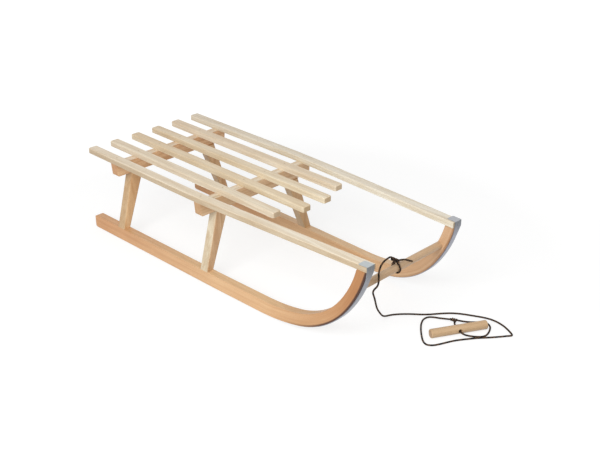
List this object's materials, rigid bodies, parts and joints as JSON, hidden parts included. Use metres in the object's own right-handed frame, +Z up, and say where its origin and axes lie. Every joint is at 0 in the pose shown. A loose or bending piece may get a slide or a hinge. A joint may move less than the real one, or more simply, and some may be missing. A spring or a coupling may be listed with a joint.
{
  "type": "wooden sled",
  "caption": "Wooden sled with a slatted seat on two splayed yokes, bent runners shod with steel bands, a pull bar and a pull cord with a wooden handle.",
  "frame": {"origin": "on the ground, below the middle of the sled without its cord", "axes": "+X forward, towards the runner tips; +Y to the left; +Z up"},
  "size_m": [1.0611, 0.352, 0.221],
  "materials": {
    "slat": "pale beech under clear varnish",
    "frame": "beech under clear varnish",
    "runner": "steamed beech under clear varnish",
    "steel": "galvanised flat steel",
    "handle": "turned beech, varnished",
    "cord": "braided cord"
  },
  "bodies": {
    "root": {"slat_1": "slat", "slat_2": "slat", "slat_3": "slat", "slat_4": "slat", "slat_5": "slat", "slat_6": "slat", "beam_rear": "frame", "beam_front": "frame", "leg_rear_right": "frame", "leg_rear_left": "frame", "leg_front_right": "frame", "leg_front_left": "frame", "pull_bar": "frame", "runner_right": "runner", "runner_left": "runner", "band_right": "steel", "band_left": "steel", "cord_handle": "handle", "cord_hitch": "cord", "pull_cord": "cord", "cord_knot": "cord", "cord_loop": "cord"}
  },
  "joints": []
}
